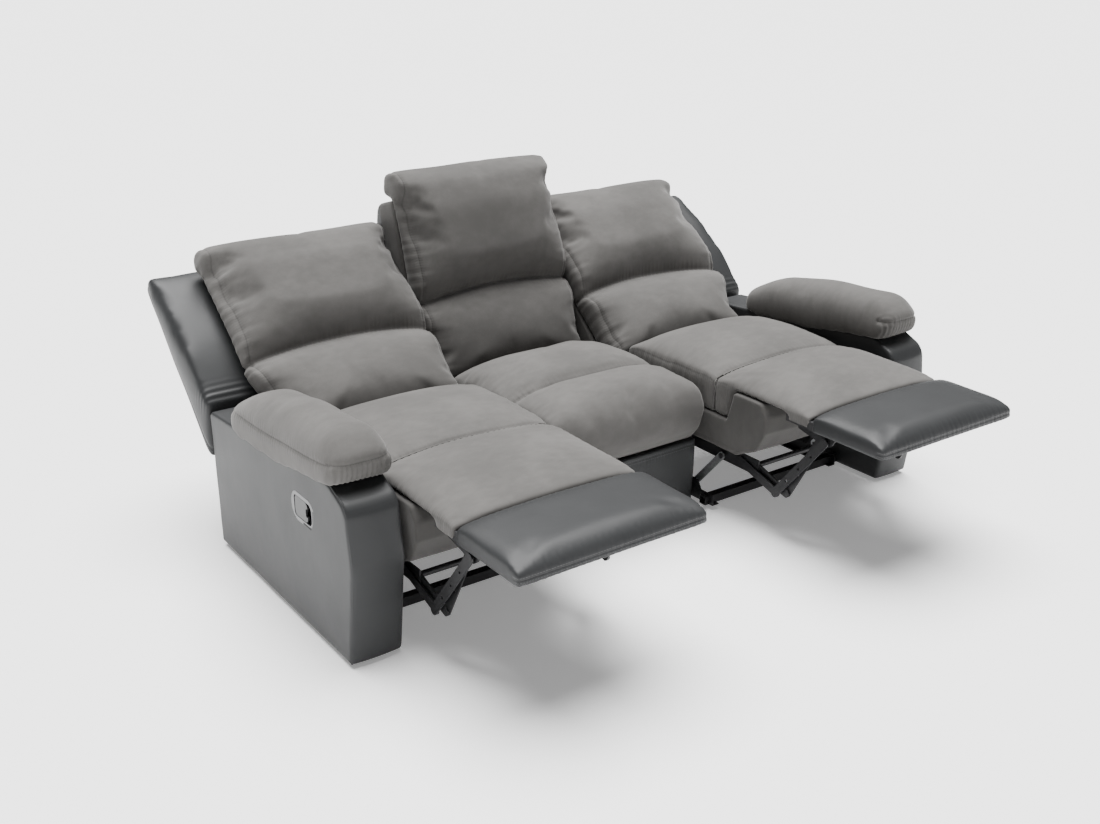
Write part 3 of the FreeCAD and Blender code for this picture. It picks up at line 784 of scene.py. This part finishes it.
def back_cushion():
    """Head and lumbar pillow in one cover, drawn in along the seam between them."""
    side_gap = 0.002
    board_front = -0.014
    sewn_half = 0.010
    obj = stuffed(
        BACK_CUSHION_PROFILE, unit_inner + side_gap, unit_outer - side_gap,
        anchor=(0.03, pillow_seam + 0.02), draw_y=0.12, draw_z=0.008, material=FABRIC, power=6)

    def held(point):
        rests = 1.0 if point.y > board_front and point.z < back_top - 0.01 else 0.0
        seam = 1.0 if point.y < -0.02 and abs(point.z - pillow_seam) < sewn_half else 0.0
        return max(rests, seam)
    inflate(obj, held, cap=0.026, pressure=4.5)
    square_up(obj, unit_middle, unit_half + 0.001)

    def arch(point, normal):
        rise = 1.0 - step_up(abs(point.z - pillow_seam), 0.02, 0.16)
        return Vector((0, 0, seam_arch(point.x) * rise))
    shape(obj, arch)
    subdivide(obj)
    rumple(obj, height=0.0025, size=0.17, seed=3.0)

    def between_pillows(point):
        if point.y >= -0.012:
            return far_from_seams
        return point.z - pillow_seam - seam_arch(point.x)
    sew(obj, between_pillows, across, depth=0.004, pucker=0.0008, pitch=0.014, reach=0.016)
    sew(obj, side_seam(0.014), upwards, depth=0.003, pucker=0.0008, pitch=0.03)
    return obj


def side_seam(inset, middle=unit_middle, half=unit_half):
    """Seams along both sides of a piece, an inset in from them."""
    return lambda point: half - inset - abs(point.x - middle)


def overhang(obj):
    """The outer side of an outer back's cushion laps over the front of the wing beside it."""
    lap_foot, lap_full = 0.11, 0.28
    wing_clearance = 0.006

    def move(point, normal):
        u = (point.x - unit_middle) / unit_half
        if u < 0:
            return Vector()
        ahead = step_up(wing_front(point.z) - wing_clearance - point.y, 0.0, 0.022)
        above = step_up(point.z, lap_foot, lap_full)
        return Vector((head_overhang * ahead * above * u ** 2, 0, 0))
    shape(obj, move)


def place_pillows(obj, unit, body, matrix):
    piece = copy_piece(obj, unit + "_back_cushion", matrix)
    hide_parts(unit + "_head_pillow", unit + "_lumbar_pillow")
    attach(piece, body)


def make_back_pillows():
    base = back_cushion()
    narrow = Matrix.Diagonal((middle_half / unit_half, 1, 1, 1))
    place_pillows(base, "middle", "root", UPRIGHT @ (narrow @ Matrix.Translation((-unit_middle, 0, 0))))
    overhang(base)
    for side, sign in SIDES.items():
        place_pillows(base, side, side + "_back", RECLINED @ Matrix.Diagonal((sign, 1, 1, 1)))
    bpy.data.objects.remove(base)


BACK_PROFILE = [
    (0.0, back_bottom, 0.006), (0.0, back_top, 0.012), (back_depth - 0.030, back_top, 0.036),
    (back_depth, back_top - 0.060, 0.060), (back_depth, back_bottom, 0.012)]


def back_shell(name, x0, x1, matrix):
    """Leather cover of a back: its rear bulges, and fabric boxing runs round its front part."""
    obj = padded_slab(name, BACK_PROFILE, x0, x1, rim=0.008, material=LEATHER)
    middle = (x0 + x1) / 2
    half = (x1 - x0) / 2
    rear_bulge = 0.010

    def move(point, normal):
        if normal.y < 0.5:
            return Vector()
        u = (point.x - middle) / half
        t = (point.z - back_bottom) / (back_top - back_bottom)
        return Vector((0, rear_bulge * (1 - u ** 4) * (1 - (2 * t - 1) ** 4), 0))
    shape(obj, move)
    rumple(obj, height=0.002, size=0.11, seed=4.0)
    subdivide(obj)

    def rear_seams(point):
        return side_seam(0.045, middle, half)(point) if point.y > 0.05 else far_from_seams
    sew(obj, rear_seams, upwards, depth=0.0025)
    obj.data.materials.append(FABRIC)
    for polygon in obj.data.polygons:
        if polygon.center.y < boxing_depth:
            polygon.material_index = 1
    obj.data.transform(matrix)
    return obj


def make_back_shells():
    for side, sign in SIDES.items():
        x0, x1 = sorted((sign * unit_inner, sign * unit_outer))
        shell = back_shell(side + "_back_shell", x0, x1, RECLINED)
        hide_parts(side + "_back_cover")
        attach(shell, side + "_back")
    shell = back_shell("middle_back_shell", -middle_half, middle_half, UPRIGHT)
    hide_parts("middle_back_cover")
    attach(shell, "root")


def wing_profile():
    """Outline of a wing in the back's frame, cut upright at its lower end behind the arm."""
    reach = (arm_rear + wing_gap - hinge_y) / math.cos(recline_lean)
    return [
        (0.003, reach - 0.003, 0.005), (-0.004, 0.376, 0.120), (0.016, 0.520, 0.090),
        (0.056, wing_top - 0.024, 0.040), (0.078, wing_top, 0.018), (back_depth, wing_top - 0.006, 0.016),
        (back_depth, reach - back_depth, 0.014)]


def back_wing():
    """Padded leather side of a back, with a topstitched seam near its rear edge."""
    fold_y, fold_z, fold_height = 0.01, 0.245, 0.0012
    profile = wing_profile()
    inner_face = unit_outer + 0.001
    lower_end = profile[0][0] + profile[0][1]
    bm = slab_mesh(profile, inner_face, wing_outer - 0.004 - inner_face)
    obj = new_piece("slab", bm, LEATHER)
    remesh(obj, wing_voxel)
    smooth(obj, 8)

    def held(point):
        inner = 1.0 if point.x < unit_outer + 0.012 else 0.0
        rear = 1.0 if point.y > back_depth - 0.010 else 0.0
        low = 1.0 if point.z < 0.30 and point.y + point.z < lower_end + 0.012 else 0.0
        return max(inner, rear * 0.9, low)
    inflate(obj, held, cap=0.010, pressure=3.0, relax=8)
    subdivide(obj)

    def gather(point, normal):
        up = math.exp(-((point.z - fold_z) / 0.028) ** 2)
        back = math.exp(-((point.y - fold_y) / 0.035) ** 2)
        return normal * fold_height * (up * back) * math.sin(380 * point.z + 260 * point.y)
    shape(obj, gather)
    rumple(obj, height=0.0016, size=0.12, seed=5.0)

    def rear_seam(point):
        return back_depth - 0.026 - point.y if point.x > 0.9 else far_from_seams
    sew(obj, rear_seam, upwards, depth=0.002)
    obj.data.transform(RECLINED)
    return obj


def make_wings():
    for side, (wing,) in both_sides(("back_wing_cover", back_wing())):
        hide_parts(side + "_back_wing")
        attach(wing, side + "_back")


# Arms

ARM_PROFILE = [
    (0.0, glide_height, 0.009), (-0.037, 0.268, 0.140), (-0.020, 0.412, 0.045),
    (arm_crest_y, arm_top_front, 0.060), (arm_rear, arm_top_rear, 0.014),
    (arm_rear, glide_height, 0.009)]


def arm_front_line():
    """Points of the arm's outline, by height up its front and then by depth over its crest."""
    bm = bmesh.new()
    outline_face(bm, ARM_PROFILE, 0)
    ring = [vertex.co.copy() for vertex in bm.faces[:][0].verts]
    bm.free()
    front = [point for point in ring if point.y < 0.10 and point.z > 0.012]
    front.sort(key=lambda point: point.z if point.y < 0.03 else 0.4 + point.y)
    return front


def arm_cover():
    """Leather arm: slightly bulging sides and front, piping along its outer front edge."""
    obj = padded_slab("arm", ARM_PROFILE, arm_inner, arm_outer, rim=0.009, material=LEATHER)
    fill_sides(obj, ARM_PROFILE, amount=0.003, soft=0.06)
    bow_front(obj, (arm_inner + arm_outer) / 2, (arm_outer - arm_inner) / 2, depth=0.006, power=2)
    rumple(obj, height=0.0016, size=0.12, seed=2.0)
    subdivide(obj)
    line = [Vector((arm_outer - 0.0055, p.y + 0.0035, p.z)) for p in arm_front_line()]
    join_into(obj, tube_along("piping", line, piping_radius, LEATHER))
    obj.data.transform(TO_FRAME)
    cut_pocket(obj)
    sew(obj, lambda point: far_from_seams, across, depth=0.0)
    return obj


def cut_pocket(obj):
    """Opening in the cover for the cup of the release handle."""
    grow = cup_wall + cut_clearance
    y0 = handle_y - pocket_length / 2 - grow
    y1 = handle_y + pocket_length / 2 + grow
    z0 = handle_z - pocket_height / 2 - grow
    z1 = handle_z + pocket_height / 2 + grow
    corners = [(y0, z0, 0.016), (y1, z0, 0.010), (y1, z1, 0.010), (y0, z1, 0.016)]
    pocket_floor = arm_outer - 0.034
    cutter = new_piece("pocket_cutter", slab_mesh(corners, pocket_floor, width=0.06), LEATHER)
    cutter.data.transform(TO_FRAME)
    cut_away(obj, cutter)


def arm_line(y):
    """Height of the arm's top board at a depth."""
    run = (y - arm_crest_y) / (arm_rear - arm_crest_y)
    return arm_top_front + (arm_top_rear - arm_top_front) * run


def arm_pad():
    """Stuffed microfibre pad over the arm, with pleats gathered into the seam across its front."""
    top = arm_top_front
    rear = arm_line(pad_rear)
    middle_y = 0.300
    profile = [
        (0.014, top + 0.006, 0.022), (-0.002, top + 0.070, 0.034), (arm_crest_y, top + 0.118, 0.070),
        (middle_y, top + 0.104, 0.300), (pad_rear - 0.120, top + 0.072, 0.140),
        (pad_rear - 0.004, rear + 0.060, 0.040), (pad_rear, rear - 0.004, 0.016),
        (pad_rear - 0.060, rear - 0.012, 0.040), (middle_y, arm_line(middle_y) - 0.020, 0.060)]
    obj = stuffed(
        profile, unit_outer + 0.004, arm_outer + 0.014, anchor=(middle_y, arm_line(middle_y)),
        draw_y=0.09, draw_z=0.40, material=FABRIC, room=arm_room())

    def held(point):
        board = arm_line(max(point.y, 0.02))
        beside = 0.7 if point.z < board + 0.004 else 0.0
        beneath = 1.0 if arm_inner < point.x < arm_outer and point.z < board + 0.010 else 0.0
        return max(beside, beneath)
    inflate(obj, held, cap=0.018)
    subdivide(obj)
    rumple(obj, height=0.003, size=0.13, seed=6.0)

    def band_seam(point):
        front = side = far_from_seams
        if point.y < 0.045:
            front = point.z - pad_seam_z
        if point.x > arm_outer and point.y > 0.03:
            side = point.z - arm_line(point.y) - pad_side_seam
        return min(front, side, key=abs)

    def pleats(point, normal):
        below = 1 - step_up(point.z, pad_seam_z - 0.010, pad_seam_z + 0.004)
        ahead = 1 - step_up(point.y, 0.020, 0.060)
        drift = 2.0 * noise.noise(Vector((point.x * 40, 1, 2)))
        wave = math.sin(2 * math.pi * point.x / pleat_pitch + drift)
        return normal * pleat_height * wave * below * ahead
    shape(obj, pleats)
    sew(obj, band_seam, lambda p: p.x + p.y, depth=0.0035, pucker=0.0008, pitch=0.012, reach=0.014)
    obj.data.transform(TO_FRAME)
    return obj


def arm_room():
    """Room of the arm under its pad."""
    grow = pad_clearance
    front, low = -0.08, 0.30
    corners = [
        (front, low, 0.001), (front, arm_top_front + grow, 0.001),
        (arm_crest_y, arm_top_front + grow, 0.060), (arm_rear, arm_top_rear + grow, 0.014),
        (arm_rear, low, 0.001)]
    inner = arm_inner - grow
    return new_piece("arm_room", slab_mesh(corners, inner, arm_outer + grow - inner), FABRIC)


def make_arms():
    for side, (cover, pad) in both_sides(("arm_leather", arm_cover()), ("arm_pad_cover", arm_pad())):
        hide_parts(side + "_arm_cover")
        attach(cover, "root")
        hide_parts(side + "_arm_pad")
        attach(pad, "root")


# Seats and footrests


def halves(obj, y, names):
    """Cuts a cushion in two across its depth, with both ends closed."""
    parts = []
    for name, clear_front in zip(names, (False, True)):
        bm = bmesh.new()
        bm.from_mesh(obj.data)
        cut = bmesh.ops.bisect_plane(
            bm, geom=bm.verts[:] + bm.edges[:] + bm.faces[:], dist=0.0001, plane_co=(0, y, 0),
            plane_no=(0, 1, 0), clear_outer=not clear_front, clear_inner=clear_front)
        open_edges = [item for item in cut["geom_cut"] if isinstance(item, bmesh.types.BMEdge)]
        bmesh.ops.holes_fill(bm, edges=open_edges)
        parts.append(new_piece(name, bm, FABRIC))
    bpy.data.objects.remove(obj)
    return parts


def crown_up(obj):
    """The tops of seat and footrest rise towards the middle of the width, most over the seat."""
    def move(point, normal):
        u = (point.x - unit_middle) / unit_half
        rise = strip_crown + seat_crown * step_up(point.y, fabric_end, 0.02)
        above = step_up(point.z, board_top + 0.001, board_top + 0.022)
        return Vector((0, 0, rise * max(0.0, 1 - u * u) * above))
    shape(obj, move)


def board_room():
    """Room of the footrest's board, up to the strip's and the pad's underside."""
    bm = bmesh.new()
    bmesh.ops.create_cube(bm, size=1.0)
    low = Vector((unit_inner + board_inset, footrest_tip + board_inset, 0.30))
    high = Vector((unit_outer - board_inset, footrest_hinge_y + 0.03, board_top))
    bmesh.ops.scale(bm, vec=high - low, verts=bm.verts)
    bmesh.ops.translate(bm, vec=(low + high) / 2, verts=bm.verts)
    return new_piece("board_room", bm, LEATHER)


def seat_cushion():
    """Seat cushion and chaise strip in one, crowned and creased. The strip lies on the footrest's
    board and its skirt hangs over the board's sides."""
    on_board = board_top + 0.0005
    on_deck = deck_height + 0.001
    top = cushion_crown
    skirt_end = footrest_hinge_y - 0.012
    skirt_foot = footrest_lip + 0.002
    profile = [
        (fabric_end, skirt_foot, 0.003), (fabric_end, top - 0.012, 0.005), (-0.175, top - 0.004, 0.020),
        (crease_y - 0.024, top, 0.026), (crease_y, top - 0.018, 0.004),
        (crease_y + 0.026, top + 0.001, 0.026), (0.320, top + 0.006, 0.200),
        (0.500, top - 0.006, 0.040), (chaise_rear, 0.392, 0.022), (chaise_rear, on_deck, 0.006),
        (0.100, on_deck, 0.006), (0.076, on_board, 0.006), (skirt_end, on_board, 0.003),
        (skirt_end, skirt_foot, 0.003)]
    obj = stuffed(
        profile, unit_inner + 0.004, unit_outer - 0.004, anchor=(0.200, on_board), draw_y=0.0,
        draw_z=0.50, material=FABRIC, room=board_room(), power=5)

    def held(point):
        low = 1.0 if (point.z < 0.392 and point.y < 0.10) or point.z < 0.31 else 0.0
        crease = math.exp(-((point.y - crease_y) / 0.010) ** 2)
        rear = 1.0 if point.y > chaise_rear - 0.012 else 0.0
        end = 1.0 if point.y < fabric_end + 0.008 else 0.0
        return max(low, crease, rear, end)
    inflate(obj, held, cap=0.020)
    keep_width(obj, unit_middle, unit_half + 0.003)
    crown_up(obj)
    subdivide(obj)
    rumple(obj, height=0.0022, size=0.17, seed=1.0)
    return obj


def from_crease(point):
    return abs(point.y - crease_y)


def make_seats():
    parts = halves(seat_cushion(), crease_y, ("right_chaise_strip", "right_seat_cushion_cover"))
    for part in parts:
        sew(part, from_crease, across, depth=0.004, pucker=0.0008, pitch=0.016, reach=0.016)
        sew(part, side_seam(0.008), backwards, depth=0.002, pucker=0.0006, pitch=0.03)
        part.data.transform(TO_FRAME)
    chaise, rear = parts
    pairs = both_sides(("chaise_strip", chaise), ("seat_cushion_cover", rear))
    for side, (strip, cushion) in pairs:
        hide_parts(side + "_footrest_fabric_pad")
        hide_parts(side + "_seat_cushion")
        side + "_footrest"
        side + "_seat"
        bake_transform(strip)
        side + "_seat"
        side + "_back"
        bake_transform(cushion)


def footrest_pad():
    """Leather cushion of the footrest, wrapped over its board and topstitched across its front."""
    top = board_top + 0.026
    rear = fabric_end - 0.002
    profile = [
        (rear, footrest_lip, 0.003), (rear, top - 0.007, 0.006), (fabric_end - 0.030, top, 0.030),
        (footrest_tip + 0.044, top, 0.050), (footrest_tip + 0.003, top - 0.018, 0.020),
        (footrest_tip + 0.005, footrest_lip, 0.006)]
    obj = stuffed(
        profile, unit_inner + 0.003, unit_outer - 0.003, anchor=(footrest_tip, board_top), draw_y=0.0,
        draw_z=0.25, material=LEATHER, room=board_room(), voxel=footrest_voxel, rounds=8, power=6)

    def held(point):
        low = 1.0 if point.z < board_top + 0.003 and point.y > footrest_tip + 0.02 else 0.0
        lip = 1.0 if point.z < footrest_lip + 0.008 else 0.0
        join = 1.0 if point.y > fabric_end - 0.012 else 0.0
        return max(low, lip, join)
    inflate(obj, held, cap=0.0035, pressure=2.0, relax=18)
    keep_width(obj, unit_middle, unit_half + 0.002)
    crown_up(obj)
    subdivide(obj)
    rumple(obj, height=0.0012, size=0.15, seed=9.0)

    def front_seam(point):
        if point.y >= footrest_tip + 0.03:
            return far_from_seams
        return point.z - footrest_lip - 0.020
    sew(obj, front_seam, across, depth=0.0015, pucker=0.0004)
    sew(obj, lambda p: fabric_end - 0.006 - p.y, across, depth=0.002, pucker=0.0006)
    obj.data.transform(TO_FRAME)
    return obj


def make_footrests():
    for side, (pad,) in both_sides(("footrest_leather", footrest_pad())):
        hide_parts(side + "_footrest_leather_pad")
        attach(pad, side + "_footrest")


SEAT_BOX_PROFILE = [
    (0.052, seat_bottom, 0.012), (-0.024, 0.243, 0.024), (seat_front, 0.306, 0.018),
    (seat_front, 0.352, 0.022), (-0.034, roll_top, 0.016), (0.070, roll_top, 0.008),
    (0.096, deck_height, 0.008), (seat_rear, deck_height, 0.004), (seat_rear, seat_bottom, 0.004)]


def make_seat_boxes():
    for side, sign in SIDES.items():
        x0, x1 = sorted((sign * unit_inner, sign * unit_outer))
        # Painted shade: the seat box covers take the darker microfibre copy, standing in for the shade
        # beneath the seats.
        obj = padded_slab(
            side + "_seat_box_cover", SEAT_BOX_PROFILE, x0, x1, rim=0.006, material=SHADED_BOX_FABRIC)
        bow_front(obj, (x0 + x1) / 2, unit_half, depth=0.006, power=4)
        rumple(obj, height=0.0022, size=0.09, seed=7.0 + sign)
        subdivide(obj)
        sew(obj, lambda p: p.z - seat_bottom - 0.016, across, depth=0.0015)
        obj.data.transform(TO_FRAME)
        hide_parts(side + "_seat_cover")
        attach(obj, side + "_seat")


# Middle section


def make_middle_seat():
    from_frame = Matrix.Translation((0, -shift_y, 0))
    solid = solid_copy("middle_seat_cushion", from_frame)
    obj = new_piece("middle_seat_cushion_cover", solid, FABRIC)
    remesh(obj, cloth_voxel)
    smooth(obj, 4)

    def held(point):
        low = 1.0 if point.z < 0.222 else 0.0
        crease = math.exp(-((point.y - middle_crease_y) / 0.012) ** 2) if point.z > 0.36 else 0.0
        return max(low, crease)
    inflate(obj, held, cap=0.020)
    subdivide(obj)
    keep_width(obj, 0.0, middle_half + 0.003)
    rumple(obj, height=0.0022, size=0.16, seed=12.0)

    def top_crease(point):
        return point.y - middle_crease_y if point.z > 0.33 else far_from_seams
    sew(obj, top_crease, across, depth=0.005, pucker=0.0008, pitch=0.016, reach=0.016)
    sew(obj, side_seam(0.010, 0.0, middle_half), backwards, depth=0.002, pucker=0.0006, pitch=0.03)
    obj.data.transform(TO_FRAME)
    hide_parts("middle_seat_cushion")
    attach(obj, "root")


def back_point(y, z):
    """Depth and height of a point given in the upright back's own frame."""
    point = UPRIGHT @ Vector((0, y, z))
    return point.y - shift_y, point.z


def make_middle_base():
    """Leather box under the middle seat. Behind the seat it rises to the underside of the back."""
    under_back = back_bottom - 0.0003
    front_y, front_z = back_point(-0.006, under_back)
    rear_y, rear_z = back_point(back_depth - 0.008, under_back)
    foot_y, brow_y, seam_z = 0.212, 0.206, 0.192
    profile = [
        (foot_y, glide_height, 0.008), (brow_y, middle_base_top, 0.006),
        (front_y - 0.090, middle_base_top, 0.020),
        (front_y - 0.020, front_z, 0.008), (front_y, front_z, 0.008), (rear_y, rear_z, 0.008),
        (rear_y, glide_height, 0.008)]
    obj = padded_slab(
        "middle_base_leather", profile, -middle_half, middle_half, rim=0.007, material=LEATHER)
    bow_front(obj, 0.0, middle_half, depth=0.004, power=4)
    rumple(obj, height=0.0016, size=0.10, seed=11.0)
    subdivide(obj)

    def upper_seam(point):
        return point.z - seam_z if point.y < 0.25 else far_from_seams
    sew(obj, upper_seam, across, depth=0.001)
    obj.data.transform(TO_FRAME)
    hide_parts("middle_base_cover")
    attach(obj, "root")


# Finishes of the rigid pieces

BLACK_PARTS = (
    "base_rails", "rear_swing_links", "seat_rails", "footrest_nose", "footrest_brackets",
    "near_seat_links", "near_board_links", "far_seat_links", "far_board_links", "back_brackets")
TIMBER_PARTS = ("seat_frame", "back_frame", "middle_base_frame", "middle_back_frame")


def handle_plastics():
    """Satin light grey surround, and the darker lever in it."""
    cup = moulded_plastic(
        "bezel_plastic", 0.55, (0.060, 0.061, 0.063, 1), (0.080, 0.081, 0.083, 1), rough=0.26, relief=0.08)
    lever = moulded_plastic(
        "handle_plastic", 0.5, (0.018, 0.0185, 0.019, 1), (0.026, 0.0265, 0.027, 1), rough=0.36, relief=0.1)
    return cup, lever


def finish_rigid_pieces():
    finishes = dict.fromkeys(BLACK_PARTS, black_steel())
    finishes["front_swing_links"] = zinc_steel()
    finishes["handle_cup"], finishes["handle_lever"] = handle_plastics()
    finishes["floor_glides"] = glide_plastic()
    finishes.update(dict.fromkeys(TIMBER_PARTS, timber()))
    finishes["footrest_board"] = lining()
    for name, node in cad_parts.items():
        plain = name.replace("left_", "").replace("right_", "")
        if plain in finishes:
            node.data.materials.clear()
            node.data.materials.append(finishes[plain])


# Studio


def make_stage():
    bm = bmesh.new()
    bmesh.ops.create_grid(bm, x_segments=1, y_segments=1, size=floor_reach)
    floor = new_piece("floor", bm, floor_finish())


def make_studio():
    """White surroundings and one wide soft light from above and a little behind the sofa."""
    world = bpy.data.worlds.new("studio")
    world.use_nodes = True
    sky = world.node_tree.nodes["Background"]
    sky.inputs["Color"].default_value = (1, 1, 1, 1)
    sky.inputs["Strength"].default_value = world_strength
    scene.world = world
    sun = bpy.data.lights.new("skylight", "SUN")
    sun.energy = skylight_energy
    sun.angle = skylight_width
    skylight = bpy.data.objects.new("skylight", sun)
    skylight.rotation_euler = skylight_way.to_track_quat("-Z", "Y").to_euler()
    scene.collection.objects.link(skylight)


def make_camera():
    camera = bpy.data.cameras.new("camera")
    camera.lens = camera_lens
    camera.sensor_width = sensor_width
    obj = bpy.data.objects.new("camera", camera)
    obj.location = at(*camera_place)
    obj.rotation_euler = (camera_tilt, 0, camera_turn)
    scene.collection.objects.link(obj)
    scene.camera = obj


make_back_pillows()
make_back_shells()
make_wings()
make_arms()
make_seats()
make_footrests()
make_seat_boxes()
make_middle_seat()
make_middle_base()
finish_rigid_pieces()
make_stage()
make_studio()
make_camera()
